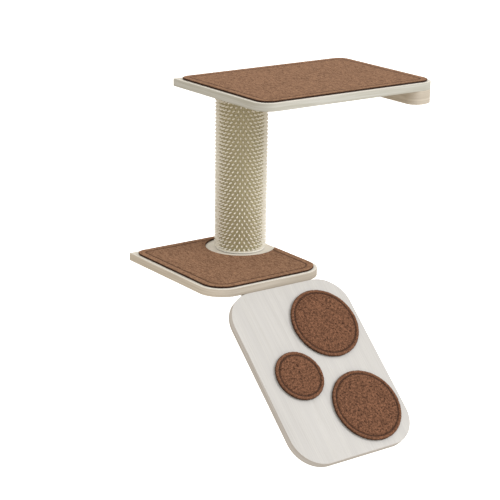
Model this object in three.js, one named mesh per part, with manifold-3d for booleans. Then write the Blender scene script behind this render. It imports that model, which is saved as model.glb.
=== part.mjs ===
// Wall mounted cat tree: an upper and a lower shelf joined by a bristle post, with a padded
// ramp below. Millimetres, +Z up. The wall is the plane y = 0 and the tree reaches out along -Y.
// The origin is the middle of the upper shelf's back edge, where it lies on the wall.

import * as THREE from "three";
import { mergeVertices } from "three/addons/utils/BufferGeometryUtils.js";
import Module from "manifold-3d";

const wasm = await Module();
wasm.setup();

// ---- driving dimensions ----

// Boards: wood panel with a printed light grain.
const boardThickness = 18;
const boardArris = 1;
const shelfDepth = 350;
const upperLength = 500;
const upperCornerRadius = 40;
const lowerLength = 312;
const lowerCornerRadius = 60;
const lowerLeftReach = 122; // how far the lower shelf passes the upper one's left end
const shelfSpacing = 400; // top face to top face

// Mats: short pile with a rolled edge.
const matThickness = 5;
const matRoll = 1.8;
const matInset = 8;
const matBackRadius = 26;
const matCutoutRadius = 82;

// Bearer block under the upper shelf's right end.
const bearerWidth = 72;
const bearerHeight = 32;
const bearerCornerRadius = 25;

// Post.
const postFromUpperEnd = 122;
const postFromWall = 102;
const tubeOuterRadius = 48;
const tubeWall = 4;
const sleeveWall = 1.7;
const bristleLength = 12;
const bristleRoot = 3;
const bristlesPerRow = 15;
const rowsPerSleeve = 7;
const sleeveCount = 3;
const flangeRadius = 58;
const flangeThickness = 4;
const flangeArris = 0.8;
const capWebThickness = 8;
const capSpigotWall = 3;
const capSpigotDepth = 20;
const capBossRadius = 12;

// Post bolts, M8, and their threaded inserts.
const boltRadius = 4;
const boltHeadRadius = 7.5;
const boltHeadHeight = 5.5;
const coneHeadHeight = 4;
const coneHeadSink = 0.5;
const socketRadius = 2.9;
const socketDepth = 2.5;
const washerRadius = 12;
const washerThickness = 1.6;
const insertWall = 2;
const insertLength = 16;
const insertRecess = 1;

// Wall brackets: steel angles with a web.
const bracketWidth = 40;
const bracketPlate = 3;
const bracketBend = 5;
const leastBendRadius = 0.5;
const shelfLeg = 180;
const wallLeg = 55;
const webThickness = 4;
const webReach = 120;
const webDrop = 46;
const wallHoleRadius = 2.8;
const wallHoleSpacing = 22;
const wallHoleDrop = 36;
const upperBracketsFromEnd = [220, 350];
const lowerBracketsFromEnd = [132, 282];
const nearScrewReach = 45;
const farScrewReach = 165;
const nearScrewSpacing = 24;

// Wood screws with a domed head.
const screwRadius = 2;
const screwHeadRadius = 4;
const screwHeadHeight = 2.4;
const screwBite = 12;

// Ramp.
const rampWidth = 320;
const rampLength = 422;
const rampCornerRadius = 72;
const rampSlopeDegrees = 43;
const rampFromUpperEnd = -106;
const rampProud = 3; // how far its face stands out past the shelf's lower front corner

// Round pads on the ramp: [name, radius, offset to the right of the middle, distance down].
const padThickness = 9;
const padRoll = 3;
const padSeamInset = 9;
const padSeamDepth = 0.9;
const padCrown = 0.6;
const largePadRadius = 85;
const smallPadRadius = 59;
const rampPads = [
  ["ramp_pad_upper", largePadRadius, 62, 112],
  ["ramp_pad_small", smallPadRadius, -66, 218],
  ["ramp_pad_lower", largePadRadius, 62, 322],
];

// Bent plates that carry the ramp.
const rampPlateWidth = 44;
const rampPlateThickness = 4;
const rampPlateShelfLeg = 95;
const rampPlateRampLeg = 120;
const rampPlatesFromMiddle = [-70, 60];
const rampScrewInsets = [18, 62];

// Keyhole hanger on the bearer's back.
const hangerWidth = 56;
const hangerHeight = 22;
const hangerThickness = 2;
const hangerSink = 0.3;
const keyholeHeadRadius = 4.6;
const keyholeNeckRadius = 2.4;
const keyholeRise = 6;
const hangerScrewSpacing = 44;
const hangerScrewBite = 12;
const hangerPocketDepth = 9;
const bearerScrewReach = [60, 175, 285];
const bearerScrewLength = 45;

// Clearances.
const screwClearance = 0.3;
const sleeveClearance = 0.3;
const plateClearance = 0.3;
const turnedClearance = 0.3; // between pieces that lie in the ramp's turned frame
const rampEdgeClearance = 0.3; // between the ramp's top edge and the shelf's lower front corner
const leastStraight = 1; // what two rounded corners leave of a board's side
const overcut = 1; // how far a cutting tool passes the face that it opens

// ---- places worked out from them ----

const upperTop = boardThickness / 2;
const upperUnder = upperTop - boardThickness;
const lowerTop = upperTop - shelfSpacing;
const lowerUnder = lowerTop - boardThickness;
const upperLeft = -upperLength / 2;
const upperRight = upperLength / 2;
const lowerLeft = upperLeft - lowerLeftReach;
const postX = upperLeft + postFromUpperEnd;
const postY = -postFromWall;
const postHeight = upperUnder - lowerTop;
const sleeveInnerRadius = tubeOuterRadius + sleeveClearance;
const sleeveRadius = sleeveInnerRadius + sleeveWall;
const sleeveHeight = (postHeight - 2 * flangeThickness) / sleeveCount;
const insertRadius = boltRadius + screwClearance + insertWall;
const bearerLeft = upperRight - bearerWidth;
const rampLeft = upperLeft + rampFromUpperEnd;
const rampMiddle = rampLeft + rampWidth / 2;

// The ramp's top edge, in (distance out from the wall, height).
const rampSlope = THREE.MathUtils.degToRad(rampSlopeDegrees);
const slopeOut = Math.cos(rampSlope);
const slopeDown = Math.sin(rampSlope);
const rampTopOut = shelfDepth + rampProud * slopeDown + rampEdgeClearance * slopeOut;
const rampTopHeight = lowerUnder + rampProud * slopeOut - rampEdgeClearance * slopeDown;

// ---- materials ----

function finish(color, roughness, metalness = 0) {
  return new THREE.MeshStandardMaterial({ color, roughness, metalness });
}

const boardFinish = finish(0xdedad3, 0.55);
const matFinish = finish(0x8f6652, 0.95);
const padFinish = finish(0x875c49, 0.95);
const bristleFinish = finish(0xc9c4a4, 0.5);
const capFinish = finish(0xd8d2c0, 0.5);
const tubeFinish = finish(0xb39a76, 0.9);
const bracketFinish = finish(0xe4e3df, 0.4, 0.2);
const screwFinish = finish(0xb9bbbd, 0.35, 0.9);
const brassFinish = finish(0xb8944f, 0.35, 0.9);

// ---- scene graph helpers ----

const catTree = new THREE.Group();
const rampFrame = new THREE.Group();
rampFrame.position.set(rampMiddle, -rampTopOut, rampTopHeight);
rampFrame.rotation.x = rampSlope;
catTree.add(rampFrame);

function addPiece(name, geometry, material, parent = catTree) {
  const mesh = new THREE.Mesh(geometry, material);
  mesh.name = name;
  parent.add(mesh);
  return mesh;
}

// ---- solids ----

function toSolid(geometry) {
  const bare = geometry.clone();
  for (const name of Object.keys(bare.attributes)) {
    if (name !== "position") bare.deleteAttribute(name);
  }
  const merged = mergeVertices(bare, 1e-4);
  const corners = [];
  for (let k = 0; k < merged.index.count; k += 3) {
    const [a, b, c] = [0, 1, 2].map((j) => merged.index.getX(k + j));
    if (a !== b && b !== c && c !== a) corners.push(a, b, c); // drops slivers at a pole
  }
  return new wasm.Manifold(
    new wasm.Mesh({
      numProp: 3,
      vertProperties: new Float32Array(merged.attributes.position.array),
      triVerts: new Uint32Array(corners),
    }),
  );
}

function toGeometry(solid) {
  const mesh = solid.getMesh();
  const geometry = new THREE.BufferGeometry();
  geometry.setAttribute("position", new THREE.BufferAttribute(mesh.vertProperties, 3));
  geometry.setIndex(new THREE.BufferAttribute(mesh.triVerts, 1));
  return geometry;
}

function cut(geometry, tools) {
  const solid = tools.reduce((left, tool) => left.subtract(toSolid(tool)), toSolid(geometry));
  return toGeometry(solid);
}

function join(geometry, others) {
  const solid = others.reduce((sum, other) => sum.add(toSolid(other)), toSolid(geometry));
  return toGeometry(solid);
}

// A rectangle whose corners are rounded: back left, back right, front right, front left.
function roundedOutline(left, right, front, back, radii) {
  const [r0, r1, r2, r3] = radii;
  const room = Math.min(
    1,
    (right - left - leastStraight) / Math.max(r0 + r1, r2 + r3, leastStraight),
    (back - front - leastStraight) / Math.max(r1 + r2, r3 + r0, leastStraight),
  );
  const [backLeft, backRight, frontRight, frontLeft] = radii.map((r) => r * room);
  const quarter = Math.PI / 2;
  const outline = new THREE.Shape();
  outline.moveTo(left, front + frontLeft);
  if (frontLeft > 0) {
    outline.absarc(left + frontLeft, front + frontLeft, frontLeft, 2 * quarter, 3 * quarter);
  }
  outline.lineTo(right - frontRight, front);
  if (frontRight > 0) {
    outline.absarc(right - frontRight, front + frontRight, frontRight, 3 * quarter, 4 * quarter);
  }
  outline.lineTo(right, back - backRight);
  if (backRight > 0) {
    outline.absarc(right - backRight, back - backRight, backRight, 0, quarter);
  }
  outline.lineTo(left + backLeft, back);
  if (backLeft > 0) {
    outline.absarc(left + backLeft, back - backLeft, backLeft, quarter, 2 * quarter);
  }
  return outline;
}

// An outline raised from z = base to z = base + height, with its edges eased by arris.
function slab(outline, base, height, arris, arrisSteps = 1) {
  const geometry = new THREE.ExtrudeGeometry(outline, {
    depth: height - 2 * arris,
    curveSegments: 7,
    bevelEnabled: true,
    bevelThickness: arris,
    bevelSize: arris,
    bevelOffset: -arris,
    bevelSegments: arrisSteps,
  });
  return geometry.translate(0, 0, base + arris);
}

// A turned piece about the Z axis from [radius, height] points.
function turned(points, segments) {
  const profile = points.map(([r, z]) => new THREE.Vector2(r, z));
  return new THREE.LatheGeometry(profile, segments).rotateX(Math.PI / 2);
}

// A plain round bar along Z, used as a cutting tool.
function bar(radius, low, high, segments = 12) {
  const points = [
    [0, low],
    [radius, low],
    [radius, high],
    [0, high],
  ];
  return turned(points, segments);
}

// A side profile in (distance out from the wall, height), given a width along X.
function sideExtrusion(profile, width, middleX) {
  const geometry = new THREE.ExtrudeGeometry(profile, {
    depth: width,
    curveSegments: 4,
    bevelEnabled: false,
  });
  const outward = new THREE.Vector3(0, -1, 0);
  const upward = new THREE.Vector3(0, 0, 1);
  const across = new THREE.Vector3(-1, 0, 0);
  geometry.applyMatrix4(new THREE.Matrix4().makeBasis(outward, upward, across));
  return geometry.translate(middleX + width / 2, 0, 0);
}

function polygon(points) {
  return new THREE.Shape(points.map(([x, y]) => new THREE.Vector2(x, y)));
}

// ---- screws, and the holes that they need ----

// A wood screw that points up, with the face under its head at z = 0.
function screwGeometry(length) {
  const tip = screwRadius;
  const points = [
    [0, -screwHeadHeight],
    [screwHeadRadius * 0.7, -screwHeadHeight * 0.9],
    [screwHeadRadius, 0],
    [screwRadius, 0],
    [screwRadius, length - tip],
    [0, length],
  ];
  return turned(points, 8);
}

function screwHole(length) {
  return bar(screwRadius + screwClearance, -overcut, length + screwClearance, 8);
}

// The hole through a plate whose upper face is at z = top.
function plateScrewHole(top, thickness) {
  return bar(screwRadius + screwClearance, top - thickness - overcut, top + overcut, 8);
}

// ---- boards ----

const upperScrewPlaces = [];
const lowerScrewPlaces = [];
for (const [places, left, brackets] of [
  [upperScrewPlaces, upperLeft, upperBracketsFromEnd],
  [lowerScrewPlaces, lowerLeft, lowerBracketsFromEnd],
]) {
  for (const fromEnd of brackets) {
    places.push([left + fromEnd - nearScrewSpacing / 2, -nearScrewReach]);
    places.push([left + fromEnd + nearScrewSpacing / 2, -nearScrewReach]);
    places.push([left + fromEnd, -farScrewReach]);
  }
}
const plateScrewLength = bracketPlate + screwBite;
const bearerScrewX = bearerLeft + bearerWidth / 2;
const bearerUnder = upperUnder - bearerHeight;

const boltHole = boltRadius + screwClearance;
const coneHeadTop = upperTop - coneHeadSink;
const coneSeat = turned(
  [
    [0, upperUnder - overcut],
    [boltHole, upperUnder - overcut],
    [boltHole, coneHeadTop - coneHeadHeight],
    [boltHeadRadius + screwClearance, coneHeadTop],
    [boltHeadRadius + screwClearance, upperTop + overcut],
    [0, upperTop + overcut],
  ],
  16,
).translate(postX, postY, 0);

const shelfRadii = (radius) => [0, 0, radius, radius];

addPiece(
  "upper_shelf_board",
  cut(
    slab(
      roundedOutline(upperLeft, upperRight, -shelfDepth, 0, shelfRadii(upperCornerRadius)),
      upperUnder,
      boardThickness,
      boardArris,
    ),
    [
      coneSeat,
      ...upperScrewPlaces.map(([x, y]) => screwHole(screwBite).translate(x, y, upperUnder)),
      ...bearerScrewReach.map((reach) =>
        screwHole(bearerScrewLength).translate(bearerScrewX, -reach, bearerUnder),
      ),
    ],
  ),
  boardFinish,
);

// The bent plates' fold, where the line along the ramp's back meets the shelf's underside, in
// (distance out from the wall, height).
const backOffset = boardThickness + plateClearance;
const foldHeight = lowerUnder;
const foldAboveRamp = (foldHeight - rampTopHeight + backOffset * slopeOut) / slopeDown;
const foldOut = rampTopOut - backOffset * slopeDown - foldAboveRamp * slopeOut;
const plateScrewReach = rampScrewInsets.map((inset) => foldOut - rampPlateShelfLeg + inset);

const rampPlateX = rampPlatesFromMiddle.map((offset) => rampMiddle + offset);
const rampShelfScrewPlaces = rampPlateX.flatMap((x) => plateScrewReach.map((out) => [x, -out]));
const rampPlateScrewLength = rampPlateThickness + screwBite;

addPiece(
  "lower_shelf_board",
  cut(
    slab(
      roundedOutline(
        lowerLeft,
        lowerLeft + lowerLength,
        -shelfDepth,
        0,
        shelfRadii(lowerCornerRadius),
      ),
      lowerUnder,
      boardThickness,
      boardArris,
    ),
    [
      bar(boltHole, lowerUnder - overcut, lowerTop + overcut, 16).translate(postX, postY, 0),
      ...[...lowerScrewPlaces, ...rampShelfScrewPlaces].map(([x, y]) =>
        screwHole(screwBite).translate(x, y, lowerUnder),
      ),
    ],
  ),
  boardFinish,
);

// ---- bearer block and its keyhole hanger ----

const hangerMiddle = upperUnder - bearerHeight / 2;
const hangerPlace = (geometry) =>
  geometry.rotateX(Math.PI / 2).translate(bearerScrewX, 0, hangerMiddle);

// A keyhole's round end and the slot above it, cut to depth.
function keyholeTool(depth, headRadius, neckRadius) {
  const head = bar(headRadius, -overcut, depth, 16);
  const neck = bar(neckRadius, -overcut, depth, 16).translate(0, keyholeRise, 0);
  const slot = new THREE.BoxGeometry(2 * neckRadius, keyholeRise, depth + overcut);
  slot.translate(0, keyholeRise / 2, (depth - overcut) / 2);
  return join(head, [neck, slot]).translate(0, -keyholeRise / 2, 0);
}

const hangerScrewOffsets = [-hangerScrewSpacing / 2, hangerScrewSpacing / 2];
const hangerRecessDepth = hangerSink + hangerThickness;
const hangerScrewTip = hangerRecessDepth + hangerScrewBite;
const hangerRecess = new THREE.BoxGeometry(
  hangerWidth + 2 * plateClearance,
  hangerHeight + 2 * plateClearance,
  hangerRecessDepth + overcut,
).translate(0, 0, (hangerRecessDepth - overcut) / 2);

addPiece(
  "end_bearer",
  cut(
    slab(
      roundedOutline(
        bearerLeft,
        upperRight,
        -shelfDepth,
        0,
        [0, 0, upperCornerRadius, bearerCornerRadius],
      ),
      bearerUnder,
      bearerHeight,
      boardArris,
    ),
    [
      ...bearerScrewReach.map((reach) =>
        screwHole(bearerScrewLength).translate(bearerScrewX, -reach, bearerUnder),
      ),
      hangerPlace(hangerRecess),
      hangerPlace(keyholeTool(hangerPocketDepth, keyholeHeadRadius, keyholeHeadRadius)),
      ...hangerScrewOffsets.map((x) =>
        hangerPlace(
          bar(screwRadius + screwClearance, 0, hangerScrewTip + screwClearance).translate(x, 0, 0),
        ),
      ),
    ],
  ),
  boardFinish,
);

const hangerPlate = new THREE.BoxGeometry(hangerWidth, hangerHeight, hangerThickness);
hangerPlate.translate(0, 0, hangerSink + hangerThickness / 2);
// The hanger's screws have flat heads, which fill cone seats in the plate.
const hangerSeat = turned(
  [
    [0, hangerSink - overcut],
    [screwHeadRadius + screwClearance, hangerSink - overcut],
    [screwHeadRadius + screwClearance, hangerSink],
    [screwRadius + screwClearance, hangerRecessDepth],
    [screwRadius + screwClearance, hangerRecessDepth + overcut],
    [0, hangerRecessDepth + overcut],
  ],
  12,
);
addPiece(
  "bearer_hanger_plate",
  hangerPlace(
    cut(hangerPlate, [
      keyholeTool(hangerPocketDepth, keyholeHeadRadius, keyholeNeckRadius),
      ...hangerScrewOffsets.map((x) => hangerSeat.clone().translate(x, 0, 0)),
    ]),
  ),
  bracketFinish,
);

hangerScrewOffsets.forEach((x, index) => {
  const points = [
    [0, hangerSink],
    [screwHeadRadius, hangerSink],
    [screwRadius, hangerRecessDepth],
    [screwRadius, hangerScrewTip - screwRadius],
    [0, hangerScrewTip],
  ];
  addPiece(
    `hanger_screw_${index + 1}`,
    hangerPlace(turned(points, 12).translate(x, 0, 0)),
    screwFinish,
  );
});

bearerScrewReach.forEach((reach, index) => {
  addPiece(`bearer_screw_${index + 1}`, screwGeometry(bearerScrewLength), screwFinish).position.set(
    bearerScrewX,
    -reach,
    bearerUnder,
  );
});

// ---- mats ----

function matSlab(left, length, boardTop, frontRadius) {
  const front = Math.max(frontRadius - matInset, 1);
  const outline = roundedOutline(
    left + matInset,
    left + length - matInset,
    -shelfDepth + matInset,
    -matInset,
    [matBackRadius, matBackRadius, front, front],
  );
  return slab(outline, boardTop, matThickness, matRoll, 2);
}

addPiece(
  "upper_shelf_mat",
  matSlab(upperLeft, upperLength, upperTop, upperCornerRadius),
  matFinish,
);

const matTop = lowerTop + matThickness;
const matCutout = bar(matCutoutRadius, lowerTop - overcut, matTop + overcut, 40);
addPiece(
  "lower_shelf_mat",
  cut(matSlab(lowerLeft, lowerLength, lowerTop, lowerCornerRadius), [
    matCutout.translate(postX, postY, 0),
  ]),
  matFinish,
);

// ---- post ----

function atPost(mesh, z) {
  mesh.position.set(postX, postY, z);
  return mesh;
}

// Cap with its flange face at z = 0, spigot upwards.
function capGeometry() {
  const spigotRadius = tubeOuterRadius - tubeWall - sleeveClearance;
  const bore = insertRadius + sleeveClearance;
  const top = flangeThickness + capSpigotDepth;
  const points = [
    [bore, 0],
    [flangeRadius - flangeArris, 0],
    [flangeRadius, flangeArris],
    [flangeRadius, flangeThickness - flangeArris],
    [flangeRadius - flangeArris, flangeThickness],
    [spigotRadius, flangeThickness],
    [spigotRadius, top],
    [spigotRadius - capSpigotWall, top],
    [spigotRadius - capSpigotWall, capWebThickness],
    [capBossRadius, capWebThickness],
    [capBossRadius, top],
    [bore, top],
    [bore, 0],
  ];
  return turned(points, 36);
}

atPost(addPiece("post_foot_cap", capGeometry(), capFinish), lowerTop);
atPost(addPiece("post_head_cap", capGeometry().rotateX(Math.PI), capFinish), upperUnder);

function tubeGeometry(inner, outer, length, segments) {
  const points = [
    [inner, 0],
    [outer, 0],
    [outer, length],
    [inner, length],
    [inner, 0],
  ];
  return turned(points, segments);
}

const tubeLength = postHeight - 2 * flangeThickness;
atPost(
  addPiece(
    "post_core_tube",
    tubeGeometry(tubeOuterRadius - tubeWall, tubeOuterRadius, tubeLength, 48),
    tubeFinish,
  ),
  lowerTop + flangeThickness,
);

// One ring of the bristle sleeve. Its outside is a grid: rows of small square roots, each
// drawn out to a point, with plain bands between them. Every other row is turned half a pitch.
function sleeveGeometry(firstRow) {
  const pitch = (2 * Math.PI) / bristlesPerRow;
  const root = bristleRoot / sleeveRadius;
  const columnAngles = [];
  for (let k = 0; k < bristlesPerRow; k += 1) {
    columnAngles.push(k * pitch - root / 2);
    columnAngles.push(k * pitch + root / 2);
    columnAngles.push((k + 0.5) * pitch - root / 2);
    columnAngles.push((k + 0.5) * pitch + root / 2);
  }
  const columns = columnAngles.length;
  const rowPitch = sleeveHeight / rowsPerSleeve;
  const heights = [0];
  for (let row = 0; row < rowsPerSleeve; row += 1) {
    heights.push((row + 0.5) * rowPitch - bristleRoot / 2);
    heights.push((row + 0.5) * rowPitch + bristleRoot / 2);
  }
  heights.push(sleeveHeight);

  const positions = [];
  const index = [];
  const point = (radius, angle, z) => {
    positions.push(radius * Math.cos(angle), radius * Math.sin(angle), z);
    return positions.length / 3 - 1;
  };
  const quad = (a, b, c, d) => index.push(a, b, c, a, c, d);

  const outer = heights.map((z) => columnAngles.map((angle) => point(sleeveRadius, angle, z)));
  const innerLow = columnAngles.map((angle) => point(sleeveInnerRadius, angle, 0));
  const innerHigh = columnAngles.map((angle) => point(sleeveInnerRadius, angle, sleeveHeight));
  for (let c = 0; c < columns; c += 1) {
    const next = (c + 1) % columns;
    for (let h = 0; h + 1 < heights.length; h += 1) {
      const corners = [outer[h][c], outer[h][next], outer[h + 1][next], outer[h + 1][c]];
      const row = (h - 1) / 2;
      const staggered = Number.isInteger(row) && (row + firstRow) % 2 === 1 ? 2 : 0;
      const isRoot = Number.isInteger(row) && row < rowsPerSleeve && c % 4 === staggered;
      if (isRoot) {
        const angle = columnAngles[c] + root / 2;
        const tip = point(sleeveRadius + bristleLength, angle, (row + 0.5) * rowPitch);
        for (let k = 0; k < 4; k += 1) index.push(corners[k], corners[(k + 1) % 4], tip);
      } else {
        quad(...corners);
      }
    }
    quad(innerLow[next], innerLow[c], innerHigh[c], innerHigh[next]);
    quad(innerLow[c], innerLow[next], outer[0][next], outer[0][c]);
    const top = outer[heights.length - 1];
    quad(innerHigh[next], innerHigh[c], top[c], top[next]);
  }
  const geometry = new THREE.BufferGeometry();
  geometry.setAttribute("position", new THREE.Float32BufferAttribute(positions, 3));
  geometry.setIndex(index);
  return geometry;
}

for (let k = 0; k < sleeveCount; k += 1) {
  const sleeve = sleeveGeometry(k * rowsPerSleeve);
  const foot = lowerTop + flangeThickness + k * sleeveHeight;
  atPost(addPiece(`bristle_sleeve_${k + 1}`, sleeve, bristleFinish), foot);
}

function insertGeometry() {
  return tubeGeometry(boltRadius + screwClearance, insertRadius, insertLength, 16);
}

atPost(addPiece("foot_insert_nut", insertGeometry(), brassFinish), lowerTop + insertRecess);
atPost(
  addPiece("head_insert_nut", insertGeometry().rotateX(Math.PI), brassFinish),
  upperUnder - insertRecess,
);

// The lower bolt, with its hexagon head and washer under the board.
const boltReach = insertRecess + insertLength;
const lowerBoltLength = washerThickness + boardThickness + boltReach;
const hexHead = new THREE.CylinderGeometry(boltHeadRadius, boltHeadRadius, boltHeadHeight, 6);
hexHead.rotateX(Math.PI / 2).translate(0, 0, -boltHeadHeight / 2);
const lowerBolt = join(hexHead, [bar(boltRadius, -boltHeadHeight / 2, lowerBoltLength, 16)]);
const washerUnder = lowerUnder - washerThickness;
atPost(addPiece("post_bolt_lower", lowerBolt, screwFinish), washerUnder);
atPost(
  addPiece(
    "post_washer_lower",
    tubeGeometry(boltHole, washerRadius, washerThickness, 16),
    screwFinish,
  ),
  washerUnder,
);

// The upper bolt, whose flat head lies in the board under the mat.
const upperBoltTip = upperUnder - boltReach;
const upperBoltBlank = turned(
  [
    [0, upperBoltTip],
    [boltRadius, upperBoltTip],
    [boltRadius, coneHeadTop - coneHeadHeight],
    [boltHeadRadius, coneHeadTop],
    [0, coneHeadTop],
  ],
  16,
);
const socket = bar(socketRadius, coneHeadTop - socketDepth, coneHeadTop + overcut, 6);
atPost(addPiece("post_bolt_upper", cut(upperBoltBlank, [socket]), screwFinish), 0);

// ---- wall brackets ----

function bracketGeometry() {
  const profile = new THREE.Shape();
  const inner = Math.max(bracketBend - bracketPlate, leastBendRadius);
  profile.moveTo(0, -wallLeg);
  profile.lineTo(bracketPlate, -wallLeg);
  profile.lineTo(bracketPlate, -bracketPlate - inner);
  const innerMiddle = [bracketPlate + inner, -bracketPlate - inner];
  profile.absarc(...innerMiddle, inner, Math.PI, Math.PI / 2, true);
  profile.lineTo(shelfLeg, -bracketPlate);
  profile.lineTo(shelfLeg, 0);
  profile.lineTo(bracketBend, 0);
  profile.absarc(bracketBend, -bracketBend, bracketBend, Math.PI / 2, Math.PI, false);
  const sink = bracketPlate / 2;
  const web = polygon([
    [sink, -sink],
    [sink, -webDrop],
    [bracketPlate, -webDrop],
    [webReach, -bracketPlate],
    [webReach, -sink],
  ]);
  const plates = sideExtrusion(profile, bracketWidth, 0);
  const holes = [-wallHoleSpacing / 2, wallHoleSpacing / 2].map((x) =>
    bar(wallHoleRadius, -overcut, bracketPlate + overcut, 12)
      .rotateX(Math.PI / 2)
      .translate(x, 0, -wallHoleDrop),
  );
  const screws = [
    [-nearScrewSpacing / 2, -nearScrewReach],
    [nearScrewSpacing / 2, -nearScrewReach],
    [0, -farScrewReach],
  ].map(([x, y]) => plateScrewHole(0, bracketPlate).translate(x, y, 0));
  return cut(join(plates, [sideExtrusion(web, webThickness, 0)]), [...holes, ...screws]);
}

const bracketRows = [
  ["upper", upperLeft, upperBracketsFromEnd, upperScrewPlaces, upperUnder],
  ["lower", lowerLeft, lowerBracketsFromEnd, lowerScrewPlaces, lowerUnder],
];
for (const [row, left, brackets, screwPlaces, under] of bracketRows) {
  brackets.forEach((fromEnd, index) => {
    const side = index === 0 ? "left" : "right";
    const bracket = addPiece(`wall_bracket_${row}_${side}`, bracketGeometry(), bracketFinish);
    bracket.position.set(left + fromEnd, 0, under);
  });
  screwPlaces.forEach(([x, y], index) => {
    const screw = addPiece(
      `${row}_bracket_screw_${index + 1}`,
      screwGeometry(plateScrewLength),
      screwFinish,
    );
    screw.position.set(x, y, under - bracketPlate);
  });
}

// ---- ramp board, its bent plates and its pads ----

// Screws into the ramp, in its own frame, by their distance below its top edge.
const rampScrewDown = rampScrewInsets.map((inset) => rampPlateRampLeg - inset - foldAboveRamp);
const rampScrewPlaces = rampPlatesFromMiddle.flatMap((x) => rampScrewDown.map((down) => [x, -down]));

addPiece(
  "ramp_board",
  cut(
    slab(
      roundedOutline(
        -rampWidth / 2,
        rampWidth / 2,
        -rampLength,
        0,
        Array(4).fill(rampCornerRadius),
      ),
      -boardThickness,
      boardThickness,
      boardArris,
    ),
    rampScrewPlaces.map(([x, y]) => screwHole(screwBite).translate(x, y, -boardThickness)),
  ),
  boardFinish,
  rampFrame,
);

// The bent plate: along the shelf's underside, then down the ramp's back.
const plateInnerFold = rampPlateThickness * Math.tan(rampSlope / 2);
const shelfLegStart = foldOut - rampPlateShelfLeg;
const alongRamp = (out, height, distance) => [
  out + distance * slopeOut,
  height - distance * slopeDown,
];
const bentProfile = polygon([
  [shelfLegStart, foldHeight - rampPlateThickness],
  [foldOut - plateInnerFold, foldHeight - rampPlateThickness],
  alongRamp(foldOut - plateInnerFold, foldHeight - rampPlateThickness, rampPlateRampLeg),
  alongRamp(foldOut, foldHeight, rampPlateRampLeg + plateInnerFold),
  [foldOut, foldHeight],
  [shelfLegStart, foldHeight],
]);

rampPlatesFromMiddle.forEach((offset, index) => {
  const side = index === 0 ? "left" : "right";
  const shelfHoles = plateScrewReach.map((out) =>
    plateScrewHole(foldHeight, rampPlateThickness).translate(rampMiddle + offset, -out, 0),
  );
  const rampHoles = rampScrewDown.map((down) => {
    const hole = plateScrewHole(-backOffset, rampPlateThickness).translate(offset, -down, 0);
    return hole.rotateX(rampSlope).translate(rampMiddle, -rampTopOut, rampTopHeight);
  });
  const blank = sideExtrusion(bentProfile, rampPlateWidth, rampMiddle + offset);
  addPiece(`ramp_plate_${side}`, cut(blank, [...shelfHoles, ...rampHoles]), bracketFinish);
});

rampShelfScrewPlaces.forEach(([x, y], index) => {
  const screw = addPiece(
    `ramp_shelf_screw_${index + 1}`,
    screwGeometry(rampPlateScrewLength),
    screwFinish,
  );
  screw.position.set(x, y, lowerUnder - rampPlateThickness);
});
rampScrewPlaces.forEach(([x, y], index) => {
  const screw = addPiece(
    `ramp_board_screw_${index + 1}`,
    screwGeometry(rampPlateScrewLength),
    screwFinish,
    rampFrame,
  );
  screw.position.set(x, y, -backOffset - rampPlateThickness - turnedClearance);
});

// A round pad: rolled rim, a sewn line inside it and a slight crown.
function padGeometry(radius) {
  const rimTop = padThickness - padCrown;
  const points = [
    [0, 0],
    [radius - padRoll, 0],
    [radius, padRoll],
    [radius, rimTop - padRoll],
    [radius - padRoll, rimTop],
    [radius - padSeamInset, rimTop - padSeamDepth],
    [radius - padSeamInset - padRoll, rimTop],
    [0, padThickness],
  ];
  return turned(points, 36);
}

for (const [name, radius, right, down] of rampPads) {
  const pad = addPiece(name, padGeometry(radius), padFinish, rampFrame);
  pad.position.set(right, -down, turnedClearance);
}

export default catTree;
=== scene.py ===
# Wall mounted cat tree: two laminate shelves on hidden steel brackets, a bristle post between
# them and a padded ramp below. Metres, +Z up. The wall is the plane y = 0, and the tree reaches
# out along -Y.

import math
import random
from collections import namedtuple

import bpy
import numpy as np
from mathutils import Matrix, Vector


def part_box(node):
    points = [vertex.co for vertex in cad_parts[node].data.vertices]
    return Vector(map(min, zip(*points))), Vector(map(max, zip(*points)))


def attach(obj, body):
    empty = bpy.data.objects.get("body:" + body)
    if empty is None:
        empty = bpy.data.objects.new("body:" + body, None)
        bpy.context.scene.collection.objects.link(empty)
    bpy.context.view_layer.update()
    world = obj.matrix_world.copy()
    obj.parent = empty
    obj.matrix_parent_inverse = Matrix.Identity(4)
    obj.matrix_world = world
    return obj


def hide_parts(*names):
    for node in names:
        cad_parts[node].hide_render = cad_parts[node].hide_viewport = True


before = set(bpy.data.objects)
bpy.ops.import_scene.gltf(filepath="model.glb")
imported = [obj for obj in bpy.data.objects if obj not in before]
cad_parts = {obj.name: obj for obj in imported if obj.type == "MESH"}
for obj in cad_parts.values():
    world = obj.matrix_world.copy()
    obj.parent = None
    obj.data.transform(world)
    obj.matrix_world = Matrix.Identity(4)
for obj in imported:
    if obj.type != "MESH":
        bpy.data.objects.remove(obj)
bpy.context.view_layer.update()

MM = 0.001

# ---- sizes that the frame's boxes don't give ----

BOARD_ARRIS = 1 * MM
UPPER_CORNER = 40 * MM
LOWER_CORNER = 60 * MM
BEARER_CORNER = 25 * MM
RAMP_CORNER = 72 * MM
RAMP_SLOPE = math.radians(43)
RAMP_PROUD = 3 * MM  # how far its face stands out past the shelf's lower front corner
RAMP_EDGE_GAP = 0.3 * MM
CORNER_STEPS = 24

MAT_INSET = 8 * MM
MAT_BACK_CORNER = 26 * MM
MAT_ROLL = 1.9 * MM
MAT_UNDERCUT = 1.2 * MM
MAT_CUTOUT = 82 * MM
MAT_VOXEL = 1.6 * MM

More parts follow.
